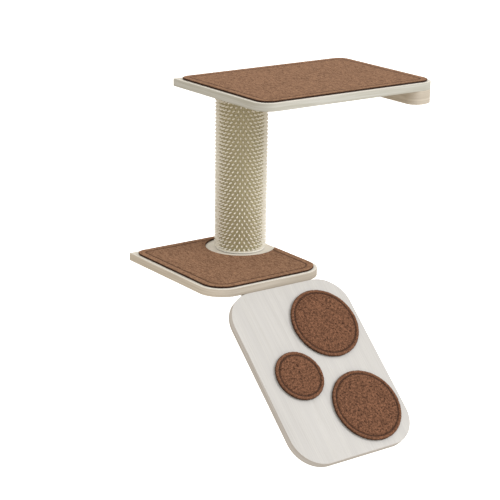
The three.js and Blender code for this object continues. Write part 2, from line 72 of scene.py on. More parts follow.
PAD_ROLL = 3.4 * MM
PAD_UNDERCUT = 2 * MM
PAD_VOXEL = 3 * MM
PAD_SIDES = 128
PAD_LIFT = 0.02 * MM  # from the ramp's face to its underside
PAD_GLUE = 1.5 * MM  # up to this height its cover is held
PAD_SWELL = 0.9 * MM  # the most that its cover gives
PAD_RIM_ROOM = 0.4 * MM  # left for that at the rim
PAD_TOP_ROOM = 0.5 * MM  # and at the top

# The sewn line's inset from the edge, its depth and width, how far in from the edge painted shade
# darkens the pile, the tufts' size and height, and how deep the stitches lie.
Sewing = namedtuple("Sewing", "inset depth width edge tuft pile sink")
MAT_SEWING = Sewing(17 * MM, 1.1 * MM, 1.6 * MM, 1.6 * MM, 3 * MM, 0.6 * MM, 1.25 * MM)
PAD_SEWING = Sewing(9.5 * MM, 2.2 * MM, 2 * MM, 2.6 * MM, 2.8 * MM, 0.8 * MM, 1.7 * MM)

STITCH_PITCH = 4.4 * MM
STITCH_LENGTH = 3.2 * MM
STITCH_RADIUS = 0.38 * MM
STITCH_DIP = 0.35 * MM

SLEEVES = 3
BRISTLE_ROWS = 14
BRISTLES_ROUND = 31
BRISTLE_LENGTH = 12 * MM
BRISTLE_ROOT = 2.6 * MM
BRISTLE_WAIST = 2.1 * MM
BRISTLE_TIP = 1.4 * MM
BRISTLE_SIDES = 6
BRISTLE_TILT = math.radians(2.5)
SLEEVE_RADIUS = 50 * MM
SLEEVE_BORE = 48.3 * MM
SLEEVE_SIDES = 70

SCREW_HEAD_RADIUS = 4 * MM
SCREW_HEAD_HEIGHT = 2.4 * MM
SCREW_CORE = 1.45 * MM
SCREW_TIP = 3 * MM
SCREW_TURN = math.radians(47)  # from one screw of a row to the next
THREAD_PITCH = 1.8 * MM
THREAD_RIDGE = 0.5 * MM
BRACKET_SCREW = 15 * MM
RAMP_SCREW = 16 * MM
BEARER_SCREW = 45 * MM
DRILL_SPARE = 1 * MM  # how much deeper than its screw a hole goes

BOLT_HEAD = 7.5 * MM
BOLT_CHAMFER = 0.9 * MM
BOLT_SHANK = 4 * MM
WASHER_BORE = 4.3 * MM

BRACKET_BEND = 5 * MM
BRACKET_PLATE = 3 * MM
BRACKET_CORNER = 6 * MM
WEB_THICKNESS = 4 * MM
WEB_REACH = 120 * MM
WEB_DROP = 46 * MM
WALL_LEG = 55 * MM
WALL_HOLE = 2.8 * MM
WALL_HOLE_SPACING = 22 * MM
WALL_HOLE_DROP = 36 * MM
SCREW_HOLE = 2.3 * MM
STEEL_ARRIS = 0.4 * MM
RAMP_PLATE = 4 * MM
RAMP_PLATE_BEND = 6 * MM
RAMP_PLATE_LEG = 120 * MM
RAMP_BACK_GAP = 0.3 * MM

HANGER_CORNER = 3 * MM
HANGER_ROOM = 0.3 * MM
HANGER_SEAT = 4.3 * MM
HANGER_SEAT_OFFSET = 22 * MM
KEYHOLE_HEAD = 4.6 * MM
KEYHOLE_NECK = 2.4 * MM
KEYHOLE_RISE = 3 * MM
POCKET_HALF_WIDTH = 5 * MM
POCKET_DEPTH = 9 * MM
POCKET_END = 3 * MM  # how far inside the plate's ends it stops

# ---- places from the frame ----

UPPER_LOW, UPPER_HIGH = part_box("upper_shelf_board")
LOWER_LOW, LOWER_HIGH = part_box("lower_shelf_board")
FOOT_LOW, FOOT_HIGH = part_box("post_foot_cap")
POST = ((FOOT_LOW + FOOT_HIGH) / 2).xy
FLANGE_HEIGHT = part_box("bristle_sleeve_1")[0].z - FOOT_LOW.z

# The ramp's frame: its origin is the middle of the top edge, -Y runs down the face.
RAMP_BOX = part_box("ramp_board")
SLOPE_OUT = math.cos(RAMP_SLOPE)
SLOPE_DOWN = math.sin(RAMP_SLOPE)
RAMP_TOP = Vector((
    (RAMP_BOX[0].x + RAMP_BOX[1].x) / 2,
    LOWER_LOW.y - RAMP_PROUD * SLOPE_DOWN - RAMP_EDGE_GAP * SLOPE_OUT,
    LOWER_LOW.z + RAMP_PROUD * SLOPE_OUT - RAMP_EDGE_GAP * SLOPE_DOWN,
))
RAMP_PLACE = Matrix.Translation(RAMP_TOP) @ Matrix.Rotation(RAMP_SLOPE, 4, "X")


def box_in(place, node):
    """The lowest and highest corners of a CAD node, seen in a turned frame."""
    back = place.inverted()
    corners = [back @ v.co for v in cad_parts[node].data.vertices]
    low = Vector(min(c[k] for c in corners) for k in range(3))
    high = Vector(max(c[k] for c in corners) for k in range(3))
    return low, high


# ---- bench tools ----

def clear_selection():
    bpy.ops.object.select_all(action="DESELECT")


def take(piece):
    """Makes the piece the only one that the next operator acts on."""
    clear_selection()
    bpy.context.view_layer.objects.active = piece
    piece.select_set(True)


def settle(name):
    """Names the new primitive and puts its place, turn and size in its mesh."""
    piece = bpy.context.object
    piece.name = name
    bpy.ops.object.transform_apply(location=True, rotation=True, scale=True)
    return piece


def put(piece, place):
    """Moves a finished piece to its place, which then is in its mesh."""
    take(piece)
    piece.matrix_world = place
    bpy.ops.object.transform_apply(location=True, rotation=True, scale=True)


def block(name, low, high):
    low = Vector(low)
    high = Vector(high)
    clear_selection()
    bpy.ops.mesh.primitive_cube_add(size=1, location=(low + high) / 2, scale=high - low)
    return settle(name)


def rod(name, radius, start, end, sides=32):
    """A round bar from one point to another."""
    start = Vector(start)
    end = Vector(end)
    turn = (end - start).to_track_quat("Z", "Y").to_euler()
    clear_selection()
    bpy.ops.mesh.primitive_cylinder_add(
        vertices=sides,
        radius=radius,
        depth=(end - start).length,
        location=(start + end) / 2,
        rotation=turn,
    )
    return settle(name)


def pillar(name, radius, foot, top, sides=32, at=(0, 0)):
    """A round bar that stands upright over a point."""
    return rod(name, radius, (*at, foot), (*at, top), sides)


def pick(piece, part, chosen):
    """Goes into edit mode with some faces or edges selected. chosen is asked with a face's centre
    and normal, or with an edge's two ends."""
    take(piece)
    bpy.ops.object.mode_set(mode="EDIT")
    bpy.ops.mesh.select_mode(type=part)
    bpy.ops.mesh.select_all(action="DESELECT")
    bpy.ops.object.mode_set(mode="OBJECT")
    mesh = piece.data
    if part == "FACE":
        for face in mesh.polygons:
            face.select = chosen(face.center, face.normal)
    else:
        for edge in mesh.edges:
            first, last = (mesh.vertices[k].co for k in edge.vertices)
            edge.select = chosen(first, last)
    bpy.ops.object.mode_set(mode="EDIT")


def put_down():
    bpy.ops.object.mode_set(mode="OBJECT")


def any_face(centre, normal):
    return True


def top_face(centre, normal):
    return normal.z > 0.9


def draw_out(step):
    """Extrudes what is picked by a step."""
    bpy.ops.mesh.extrude_region_move(TRANSFORM_OT_translate={"value": step})


def stretch(x, y, z):
    """Makes what is picked wider or narrower about the origin."""
    bpy.ops.transform.resize(value=(x, y, z), center_override=(0, 0, 0))


def near(a, b, reach=0.01 * MM):
    return abs(a - b) < reach


def round_edges(piece, chosen, radius, steps):
    pick(piece, "EDGE", chosen)
    bpy.ops.mesh.bevel(offset=radius, segments=steps, affect="EDGES", clamp_overlap=False)
    put_down()


def level_edges(height):
    """Picks the edges that lie at one height."""
    return lambda a, b: near(a.z, height) and near(b.z, height)


def upright_edges(x, y):
    """Picks the edge that stands at one corner."""
    return lambda a, b: all(near(p.x, x) and near(p.y, y) for p in (a, b))


def cross_edges(x, z):
    """Picks the edge that runs from front to back at one place."""
    return lambda a, b: all(near(p.x, x) and near(p.z, z) for p in (a, b))


def round_corners(piece, low, high, front, back=(), steps=CORNER_STEPS):
    """Rounds upright edges. front and back hold the left and the right corner's radius."""
    for y, radii in ((low.y, front), (high.y, back)):
        for x, radius in zip((low.x, high.x), radii):
            round_edges(piece, upright_edges(x, y), radius, steps)


def change(piece, kind, **settings):
    """Adds a modifier and applies it."""
    take(piece)
    modifier = piece.modifiers.new(kind, kind)
    for name, value in settings.items():
        setattr(modifier, name, value)
    bpy.ops.object.modifier_apply(modifier=modifier.name)


def combine(piece, operation, tools):
    """Cuts the tools from the piece, or welds them on. The tools are used up."""
    for tool in tools:
        change(piece, "BOOLEAN", operation=operation, object=tool, solver="EXACT")
        bpy.data.objects.remove(tool)


def cut_out(piece, *tools):
    combine(piece, "DIFFERENCE", tools)


def weld_on(piece, *tools):
    combine(piece, "UNION", tools)


def ease_sharp_edges(piece, width, steps=2):
    change(
        piece,
        "BEVEL",
        width=width,
        segments=steps,
        limit_method="ANGLE",
        angle_limit=math.radians(35),
        use_clamp_overlap=True,
    )


def smooth(piece, degrees=35):
    take(piece)
    bpy.ops.object.shade_smooth_by_angle(angle=math.radians(degrees))


def face_outwards(piece):
    pick(piece, "FACE", any_face)
    bpy.ops.mesh.normals_make_consistent(inside=False)
    put_down()


def joined(name, pieces):
    clear_selection()
    for piece in pieces:
        piece.select_set(True)
    bpy.context.view_layer.objects.active = pieces[0]
    bpy.ops.object.join()
    pieces[0].name = name
    return pieces[0]


def copied(name, pattern, place):
    """A copy of a pattern at its place, with its own mesh."""
    mesh = pattern.data.copy()
    mesh.transform(place)
    copy = bpy.data.objects.new(name, mesh)
    bpy.context.collection.objects.link(copy)
    return copy


def spread(name, pattern, places):
    """One piece made of copies of a pattern. The pattern is used up."""
    copies = [copied(name, pattern, place) for place in places]
    bpy.data.objects.remove(pattern)
    return joined(name, copies)


def paint(piece, *finishes):
    piece.data.materials.clear()
    for finish in finishes:
        piece.data.materials.append(finish)


def hand_over(piece, slot, *nodes):
    """The piece rides with the tree and stands for its CAD nodes."""
    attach(piece, "root")
    if nodes:
        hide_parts(*nodes)


def complete(piece, finish, slot, node, place=None, degrees=35):
    """Smooths and paints a piece, puts it in its place and hands it over."""
    smooth(piece, degrees)
    paint(piece, finish)
    if place:
        put(piece, place)
    hand_over(piece, slot, node)


# ---- finishes ----

class Value:
    """A socket of a node tree. Arithmetic on it adds Math nodes."""

    def __init__(self, wiring, socket):
        self.wiring = wiring
        self.socket = socket

    def math(self, operation, *values):
        return self.wiring.node("ShaderNodeMath", {"operation": operation}, dict(enumerate(values)))

    def __add__(self, other):
        return self.math("ADD", self, other)

    def __radd__(self, other):
        return self.math("ADD", other, self)

    def __sub__(self, other):
        return self.math("SUBTRACT", self, other)

    def __rsub__(self, other):
        return self.math("SUBTRACT", other, self)

    def __mul__(self, other):
        return self.math("MULTIPLY", self, other)

    def __rmul__(self, other):
        return self.math("MULTIPLY", other, self)

    def between(self, low, high):
        """0 at low, 1 at high, and an eased step from one to the other."""
        settings = {"interpolation_type": "SMOOTHSTEP"}
        inputs = {0: self, 1: low, 2: high, 3: 0, 4: 1}
        return self.wiring.node("ShaderNodeMapRange", settings, inputs)

    def widened(self):
        """A noise, most of which lies between 0.3 and 0.7, spread over 0 to 1."""
        return self.between(0.3, 0.7)


class Wiring:
    """A node tree in the making."""

    def __init__(self, tree):
        self.tree = tree

    def node(self, kind, settings=None, inputs=None, output=0):
        """Adds a node. Its settings come first, then the values or links of its sockets."""
        node = self.tree.nodes.new(kind)
        for name, value in (settings or {}).items():
            setattr(node, name, value)
        for socket, value in (inputs or {}).items():
            self.feed(node.inputs[socket], value)
        return Value(self, node.outputs[output])

    def feed(self, socket, value):
        if isinstance(value, Value):
            self.tree.links.new(value.socket, socket)
        else:
            socket.default_value = value

    def mix(self, factor, first, second):
        settings = {"data_type": "RGBA", "clamp_factor": True}
        inputs = {0: factor, 6: first, 7: second}
        return self.node("ShaderNodeMix", settings, inputs, output=2)


class Finish(Wiring):
    """A material on object coordinates, in the making. A size is one length, or three."""

    def __init__(self, name, **constants):
        self.material = bpy.data.materials.new(name)
        self.material.use_nodes = True
        super().__init__(self.material.node_tree)
        self.made(**constants)

    def made(self, **values):
        """Sets or links the shader's sockets and gives the material."""
        shader = self.tree.nodes["Principled BSDF"]
        for socket, value in values.items():
            self.feed(shader.inputs[socket.replace("_", " ")], value)
        return self.material

    def surfaced(self, colour, roughness, relief, depth):
        """The material with a colour, a roughness and a relief that vary."""
        return self.made(Base_Color=colour, Roughness=roughness, Normal=self.bump(relief, depth))

    def pattern(self, size, place=None):
        """Object coordinates in units of size, in the frame of place."""
        place = place or Matrix.Identity(4)
        inputs = {
            "Vector": self.node("ShaderNodeTexCoord", output="Object"),
            "Location": place.translation,
            "Rotation": place.to_euler(),
            "Scale": size if isinstance(size, (list, tuple)) else (size, size, size),
        }
        return self.node("ShaderNodeMapping", {"vector_type": "TEXTURE"}, inputs)

    def coordinate(self, letter, place=None):
        """X, Y or Z in the frame of place."""
        here = self.pattern(1, place)
        return self.node("ShaderNodeSeparateXYZ", None, {0: here}, output=letter)

    def noise(self, size, place=None, detail=3, roughness=0.55, distortion=0):
        inputs = {
            "Vector": self.pattern(size, place),
            "Scale": 1,
            "Detail": detail,
            "Roughness": roughness,
            "Distortion": distortion,
        }
        return self.node("ShaderNodeTexNoise", None, inputs)

    def tufts(self, size, place=None):
        """Distance from the middle of each of many small cells."""
        inputs = {"Vector": self.pattern(size, place), "Scale": 1, "Randomness": 1}
        return self.node("ShaderNodeTexVoronoi", None, inputs)

    def attribute(self, name):
        """A number that the piece's mesh holds at each point."""
        return self.node("ShaderNodeAttribute", {"attribute_name": name}, output="Fac")

    def bump(self, height, distance, strength=1):
        inputs = {"Height": height, "Distance": distance, "Strength": strength}
        return self.node("ShaderNodeBump", None, inputs)


def shade(red, green, blue):
    """A colour in sRGB steps, as linear light."""
    return (*(linear(step / 255) for step in (red, green, blue)), 1)


def linear(share):
    return share / 12.92 if share <= 0.04045 else ((share + 0.055) / 1.055) ** 2.4


def laminate(name, along, tones, place=None):
    """White-washed wood print. along is the grain's axis in the board's frame: 0 or 1. tones
    are its pale ground, its brightest wash, its fibres and its pores."""
    finish = Finish(name, Specular_IOR_Level=0.35)
    ground, wash, fibre, pore = tones

    def grain_size(length, width):
        size = [width, width, width]
        size[along] = length
        return size

    bands = finish.noise(grain_size(620 * MM, 16 * MM), place, detail=2, distortion=0.4)
    fibres = finish.noise(grain_size(190 * MM, 2.6 * MM), place, detail=4, roughness=0.7)
    pores = finish.noise(grain_size(26 * MM, 0.9 * MM), place, detail=2)
    pore_mask = pores.between(0.6, 0.72) * bands.between(0.35, 0.6)
    washed = finish.mix(bands.widened(), ground, wash)
    streaked = finish.mix(fibres.between(0.4, 0.75) * 0.55, washed, fibre)
    coloured = finish.mix(pore_mask * 0.35, streaked, pore)
    height = fibres * 0.6 - pore_mask * 0.8
    return finish.surfaced(coloured, 0.5 + fibres * 0.16, height, 0.06 * MM)


def edge_band(name, tones, place=None, shaded=None):
    """The boards' edging, whose grain runs along the edge: lines that follow its length. tones
    are its ground, its lines and its threads. shaded is where, from left to right, a painted
    shadow darkens it, for the shade that the shelf above throws."""
    finish = Finish(name, Specular_IOR_Level=0.35)
    ground, line, thread = tones
    lines = finish.noise((160 * MM, 160 * MM, 4.2 * MM), place, detail=3, roughness=0.6)
    threads = finish.noise((60 * MM, 60 * MM, 1.1 * MM), place, detail=2)
    tone = finish.mix(lines.between(0.36, 0.62), ground, line)
    coloured = finish.mix(threads.between(0.55, 0.75) * 0.35, tone, thread)
    # Painted shadow: the edging darkens from its left end towards the front.
    if shaded:
        shadow = finish.coordinate("X", place).between(*shaded) * 0.28
        coloured = finish.mix(shadow, coloured, shade(60, 52, 42))
    return finish.surfaced(coloured, 0.48 + lines * 0.16, lines + threads * 0.4, 0.08 * MM)


def carpet(name, dark, light, tuft, streak, speckle, dusk, lit_height, place=None):
    """Short pile. Painted shade makes it darkest near the board, as little light gets in below the
    height dusk and all of it only lit_height above that, along the sewn line and near its outermost
    edge. The hem outside that line catches more light, which is painted too. speckle is the share
    of its finest tones."""
    finish = Finish(
        name,
        Roughness=0.95,
        Specular_IOR_Level=0.15,
        Sheen_Weight=0.12,
        Sheen_Roughness=0.6,
        Sheen_Tint=shade(214, 178, 150),
    )
    loops = finish.tufts(tuft, place)
    fibres = finish.noise(tuft * 0.45, place, detail=2)
    clumps = finish.noise(tuft * 1.6, place, detail=3)
    brushed = finish.noise(streak, place, detail=4, roughness=0.65, distortion=0.7)
    pile = 1 - loops.between(0.1, 0.85)
    tone = (pile - 0.5) * 0.25 * speckle + (fibres - 0.5) * 0.4 * speckle
    tone = tone + clumps.widened() * 0.45 + brushed.widened() * 0.6 - 0.02
    coloured = finish.mix(tone, dark, light)
    # Painted light on the hem outside the sewn line.
    hemmed = finish.mix(finish.attribute("hem") * 0.12, coloured, light)
    lit = finish.coordinate("Z", place).between(dusk, dusk + lit_height)
    open_pile = lit * (1 - finish.attribute("seam") * 0.65)
    # Painted shade near the pile's outermost edge.
    open_pile = open_pile * (1 - finish.attribute("edge") * 0.8)
    shaded = finish.mix(open_pile, shade(42, 23, 14), hemmed)
    relief = pile * 0.8 + fibres * 0.5 + clumps * 0.3
    return finish.made(Base_Color=shaded, Normal=finish.bump(relief, 0.7 * MM, 0.9))


def thread_finish(name, colour):
    finish = Finish(name, Roughness=0.7, Sheen_Weight=0.2)
    twist = finish.noise(0.5 * MM, detail=1)
    coloured = finish.mix(twist.widened() * 0.5, colour, shade(58, 36, 26))
    return finish.made(Base_Color=coloured, Normal=finish.bump(twist, 0.1 * MM))


def bristle_finish():
    """Moulded plastic, olive at the roots and cream at the tips. This change is partly the
    plastic's own tone and partly painted: shade between the bristles at the roots, and light
    through the tips.
    """
    finish = Finish("bristle_plastic", Specular_IOR_Level=0.5, Roughness=0.42)
    flat = finish.pattern((1, 1, 1000), Matrix.Translation((*POST, 0)))
    radius = finish.node("ShaderNodeVectorMath", {"operation": "LENGTH"}, {0: flat}, output="Value")
    # Partly painted shade towards the roots and painted light towards the tips.
    towards_tip = radius.between(SLEEVE_RADIUS + 0.2 * MM, SLEEVE_RADIUS + 0.35 * BRISTLE_LENGTH)
    mottle = finish.noise(4 * MM, detail=2)
    root = finish.mix(mottle.between(0.35, 0.65), shade(172, 163, 130), shade(188, 179, 147))
    coloured = finish.mix(towards_tip, root, shade(253, 250, 240))
    return finish.made(Base_Color=coloured)


def plastic(name, colour, shadow):
    finish = Finish(name, Specular_IOR_Level=0.5, Coat_Weight=0.15, Coat_Roughness=0.25)
    cloud = finish.noise(22 * MM, detail=2)
    grain = finish.noise(0.7 * MM, detail=2)
    coloured = finish.mix(cloud.widened() * 0.5, colour, shadow)
    return finish.surfaced(coloured, 0.3 + grain * 0.12, grain, 0.03 * MM)


def powder_coat(name):
    """White paint baked on steel, with the faint pebbling that such paint has."""
    finish = Finish(name, Specular_IOR_Level=0.5)
    pebbles = finish.noise(1.1 * MM, detail=2)
    cloud = finish.noise(60 * MM, detail=2)
    coloured = finish.mix(cloud.widened(), shade(232, 231, 227), shade(224, 223, 218))
    return finish.surfaced(coloured, 0.38 + pebbles * 0.12, pebbles, 0.06 * MM)


def plated(name, colour, worn):
    finish = Finish(name, Metallic=1)
    brushed = finish.noise((1.6 * MM, 1.6 * MM, 0.4 * MM), detail=3)
    spangle = finish.tufts(5 * MM)
    coloured = finish.mix(spangle.between(0.2, 0.8), colour, worn)
    return finish.surfaced(coloured, 0.26 + brushed * 0.2, brushed, 0.02 * MM)


def kraft_paper():
    """The core tube's brown paper, wound on a slant."""
    finish = Finish("kraft_paper", Roughness=0.85, Specular_IOR_Level=0.2)
    wound = Matrix.Rotation(math.radians(35), 4, "Y")
    fibres = finish.noise((9 * MM, 9 * MM, 1.2 * MM), wound, detail=4)
    flecks = finish.noise(2 * MM, detail=2)
    coloured = finish.mix(fibres.between(0.35, 0.7), shade(176, 146, 106), shade(196, 168, 128))
    flecked = finish.mix(flecks.between(0.62, 0.75) * 0.4, coloured, shade(120, 94, 64))
    return finish.made(Base_Color=flecked, Normal=finish.bump(fibres, 0.1 * MM))


SHELF_TONES = (
    shade(235, 231, 221), shade(240, 236, 228), shade(221, 216, 205), shade(198, 191, 177)
)
RAMP_TONES = (
    shade(206, 205, 204), shade(212, 211, 209), shade(190, 188, 184), shade(176, 172, 164)
)
# The upper, lower and bearer edgings are one edging. Their tones differ only as painted light and
# shade: the lower one is lighter and warmer and the bearer's warmer, for the light that falls on
# each.
UPPER_EDGE_TONES = (shade(214, 214, 208), shade(199, 198, 188), shade(184, 181, 168))
LOWER_EDGE_TONES = (shade(228, 219, 206), shade(212, 202, 187), shade(196, 186, 169))
LOWER_EDGE_SHADED = (LOWER_LOW.x + 6 * MM, LOWER_LOW.x + LOWER_CORNER)
BEARER_EDGE_TONES = (shade(219, 210, 196), shade(203, 193, 178), shade(188, 178, 161))
RAMP_EDGE_TONES = (shade(224, 221, 219), shade(207, 202, 197), shade(190, 183, 173))
SHELF_FACE = laminate("shelf_laminate", 0, SHELF_TONES)
UPPER_EDGE = edge_band("upper_edge_band", UPPER_EDGE_TONES)
LOWER_EDGE = edge_band("lower_edge_band", LOWER_EDGE_TONES, shaded=LOWER_EDGE_SHADED)
BEARER_EDGE = edge_band("bearer_edge_band", BEARER_EDGE_TONES)
RAMP_FACE = laminate("ramp_laminate", 1, RAMP_TONES, RAMP_PLACE)
RAMP_EDGE = edge_band("ramp_edge_band", RAMP_EDGE_TONES, RAMP_PLACE)
BRISTLES = bristle_finish()
CAP = plastic("cap_plastic", shade(250, 248, 240), shade(243, 239, 228))
# Painted shade: the recess under the flange gets a dark colour for the shade where little light
# gets in.
CAP_RECESS_SHADE = plastic("cap_recess_painted_shade", shade(84, 70, 51), shade(70, 58, 42))
COAT = powder_coat("white_powder_coat")
ZINC = plated("zinc_plate", shade(196, 198, 202), shade(168, 171, 176))
BRASS = plated("brass", shade(204, 168, 96), shade(178, 142, 76))
PAPER = kraft_paper()
MAT_THREAD = thread_finish("mat_thread", shade(104, 68, 50))
PAD_THREAD = thread_finish("pad_thread", shade(92, 58, 42))


def mat_carpet(name, board_top):
    return carpet(
        name,
        dark=shade(84, 56, 40),
        light=shade(186, 144, 114),
        tuft=1.6 * MM,
        streak=(4 * MM, 10 * MM, 4 * MM),
        speckle=0.6,
        dusk=board_top + 2.6 * MM,
        lit_height=2.3 * MM,
    )


UPPER_CARPET = mat_carpet("upper_carpet", UPPER_HIGH.z)
LOWER_CARPET = mat_carpet("lower_carpet", LOWER_HIGH.z)
PAD_CARPET = carpet(
    "pad_carpet",
    dark=shade(44, 24, 16),
    light=shade(155, 109, 83),
    tuft=2.3 * MM,
    streak=4 * MM,
    speckle=1,
    dusk=2 * MM,
    lit_height=5 * MM,
    place=RAMP_PLACE,
)


# ---- boards ----

def panel(name, low, high, front, back=()):
    """A board with eased edges. front and back hold its left and right corners' radii."""
    board = block(name, low, high)
    round_corners(board, low, high, front, back)
    for height in (low.z, high.z):
        round_edges(board, level_edges(height), BOARD_ARRIS, 3)
    return board


def laminated(board, face_finish, edge_finish):
    """The print on the faces, and the edging round them."""
    paint(board, face_finish, edge_finish)
    for face in board.data.polygons:
        face.material_index = 0 if abs(face.normal.z) > 0.8 else 1
    smooth(board, 30)


def screw_seats(prefix, count, place=Matrix.Identity(4)):
    """Where the screws of a row go in along Z of a frame, each at the face under its head."""
    seats = []
    for number in range(1, count + 1):
        low, high = box_in(place, f"{prefix}_{number}")
        seat = (low + high) / 2
        seat.z = low.z + SCREW_HEAD_HEIGHT
        seats.append(place @ Matrix.Translation(seat))
    return seats


def screw_hole(seat, depth, sides=32):
    """The tool that drills a screw's hole."""
    return rod("hole", SCREW_HOLE, seat @ Vector((0, 0, -MM)), seat @ Vector((0, 0, depth)), sides)


def drilled(board, seats, screw_length):
    cut_out(board, *[screw_hole(seat, screw_length + DRILL_SPARE, 16) for seat in seats])


UPPER_SEATS = screw_seats("upper_bracket_screw", 6)
LOWER_SEATS = screw_seats("lower_bracket_screw", 6)
BEARER_SEATS = screw_seats("bearer_screw", 3)
RAMP_SHELF_SEATS = screw_seats("ramp_shelf_screw", 4)
RAMP_BOARD_SEATS = screw_seats("ramp_board_screw", 4, RAMP_PLACE)


def upper_shelf():
    board = panel("upper_shelf", UPPER_LOW, UPPER_HIGH, (UPPER_CORNER, UPPER_CORNER))
    drilled(board, UPPER_SEATS, BRACKET_SCREW)
    drilled(board, BEARER_SEATS, BEARER_SCREW)
    laminated(board, SHELF_FACE, UPPER_EDGE)
    hand_over(board, "board_laminate", "upper_shelf_board")


def lower_shelf():
    board = panel("lower_shelf", LOWER_LOW, LOWER_HIGH, (LOWER_CORNER, LOWER_CORNER))
    drilled(board, LOWER_SEATS + RAMP_SHELF_SEATS, RAMP_SCREW)
    laminated(board, SHELF_FACE, LOWER_EDGE)
    hand_over(board, "board_laminate", "lower_shelf_board")


def end_bearer():
    """The block under the upper shelf's right end, with the hanger's recess in its back."""
    bearer = panel("bearer_block", *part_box("end_bearer"), (BEARER_CORNER, UPPER_CORNER))
    drilled(bearer, BEARER_SEATS, BEARER_SCREW)
    low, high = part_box("bearer_hanger_plate")
    middle = (low + high) / 2
    behind = 2 * MM
    recess = block(
        "recess",
        (low.x - HANGER_ROOM, low.y, low.z - HANGER_ROOM),
        (high.x + HANGER_ROOM, behind, high.z + HANGER_ROOM),
    )
    pocket = block(
        "pocket",
        (middle.x - POCKET_HALF_WIDTH, -POCKET_DEPTH, low.z + POCKET_END),
        (middle.x + POCKET_HALF_WIDTH, behind, high.z - POCKET_END),
    )
    cut_out(bearer, recess, pocket)
    laminated(bearer, SHELF_FACE, BEARER_EDGE)
    hand_over(bearer, "board_laminate", "end_bearer")


def ramp():
    corners = (RAMP_CORNER, RAMP_CORNER)
    board = panel("ramp", *box_in(RAMP_PLACE, "ramp_board"), corners, corners)
    laminated(board, RAMP_FACE, RAMP_EDGE)
    put(board, RAMP_PLACE)
    hand_over(board, "board_laminate", "ramp_board")


# ---- mats and pads ----

class Outline:
    """A rectangle with rounded corners, seen from above."""

    def __init__(self, left, right, front, back, front_radius, back_radius):
        self.middle = np.array([(left + right) / 2, (front + back) / 2])
        self.half = np.array([(right - left) / 2, (back - front) / 2])
        self.front_radius = front_radius
        self.back_radius = back_radius

    def inward(self, points):
        """How far inside the outline each point lies."""
        offset = points[:, :2] - self.middle
        radius = np.where(offset[:, 1] > 0, self.back_radius, self.front_radius)
        beyond = np.abs(offset) - self.half + radius[:, None]
        outside = np.linalg.norm(np.maximum(beyond, 0), axis=1)
        inside = np.minimum(beyond.max(axis=1), 0)
        return radius - outside - inside

    def walk(self, inset, pitch):
        """Points and headings along the outline, moved in by inset and spaced by about pitch."""
        legs = []
        for quarter in range(4):
            radius = self.back_radius if quarter < 2 else self.front_radius
            side = np.array([(1, 1), (-1, 1), (-1, -1), (1, -1)][quarter])
            centre = self.middle + side * (self.half - radius)
            legs.append((centre, radius - inset, quarter * math.pi / 2))
        marks = []
        for number, (centre, radius, start) in enumerate(legs):
            steps = max(1, round(radius * math.pi / 2 / pitch))
            for step in range(steps):
                angle = start + (step + 0.5) / steps * math.pi / 2
                spot = centre + radius * np.array([math.cos(angle), math.sin(angle)])
                marks.append((spot, angle + math.pi / 2))
            end = start + math.pi / 2
            reach = np.array([math.cos(end), math.sin(end)])
            next_centre, next_radius, _ = legs[(number + 1) % 4]
            first = centre + radius * reach
            last = next_centre + next_radius * reach
            steps = round(np.linalg.norm(last - first) / pitch)
            for step in range(steps):
                marks.append((first + (last - first) * (step + 0.5) / steps, end + math.pi / 2))
        return marks


def read_points(mesh):
    points = np.empty(len(mesh.vertices) * 3)
    mesh.vertices.foreach_get("co", points)
    return points.reshape(-1, 3)


def write_points(mesh, points):
    mesh.vertices.foreach_set("co", points.ravel())
    mesh.update()


def group_of(piece, name, weights):
    """A vertex group from one weight for each point."""
    group = piece.vertex_groups.new(name=name)
    for step in range(11):
        members = np.flatnonzero(np.round(weights * 10) == step)
        if step and len(members):
            group.add([int(m) for m in members], step / 10, "REPLACE")
    return group


def puff(piece, sewn, pressure, most, frames=20):
    """Fills a cover with pressure as foam does, by cloth simulation. sewn is 1 where the cover
    is stitched or glued down, and no point moves by more than most."""
    group_of(piece, "sewn", sewn)
    rest = read_points(piece.data)
    modifier = piece.modifiers.new("Cover", "CLOTH")
    cover = modifier.settings
    cover.quality = 5
    cover.mass = 0.2
    cover.tension_stiffness = 20
    cover.compression_stiffness = 20
    cover.bending_stiffness = 4
    cover.use_pressure = True
    cover.uniform_pressure_force = pressure
    cover.vertex_group_mass = "sewn"
    cover.effector_weights.gravity = 0
    modifier.collision_settings.use_collision = False
    modifier.point_cache.frame_end = frames
    scene = bpy.context.scene
    for number in range(1, frames + 1):
        scene.frame_set(number)
    evaluated = piece.evaluated_get(bpy.context.evaluated_depsgraph_get())
    blown = read_points(evaluated.data)
    piece.modifiers.remove(modifier)
    scene.frame_set(1)
    travel = blown - rest
    length = np.linalg.norm(travel, axis=1, keepdims=True)
    write_points(piece.data, rest + travel * np.minimum(1, most / np.maximum(length, 1e-9)))


def close_underside(piece, height):
    """Makes the many small faces that lie on the board one."""
    pick(piece, "FACE", lambda centre, normal: normal.z < -0.9 and centre.z < height)
    bpy.ops.mesh.dissolve_faces()
    put_down()


def mark_points(mesh, name, values):
    attribute = mesh.attributes.new(name, "FLOAT", "POINT")
    attribute.data.foreach_set("value", values.astype(np.float32))


def press_seam(piece, outline, base, thickness, sewing):
    """Draws the top down along a sewn line. The field inside it lies a little lower than the
    hem outside it. The mesh also holds, for the finish's painted shade and light, where the line
    and the hem are and how near the outermost edge is."""
    points = read_points(piece.data)
    distance = outline.inward(points)
    # Nearness to the outermost edge, where the finish paints shade on the pile.
    mark_points(piece.data, "edge", np.clip(1 - distance / sewing.edge, 0, 1))
    share = np.clip((points[:, 2] - base) / thickness, 0, 1)
    off_seam = distance - sewing.inset
    line = np.exp(-((off_seam / sewing.width) ** 2))
    pull = np.exp(-((off_seam / (3 * sewing.width)) ** 2))
    field = np.clip(off_seam / (3 * sewing.width), 0, 1)
    points[:, 2] -= (line + pull * 0.4 + field * 0.3) * sewing.depth * share
    write_points(piece.data, points)
    mark_points(piece.data, "seam", line * share)
    mark_points(piece.data, "hem", np.clip(-off_seam / sewing.width, 0, 1) * share)


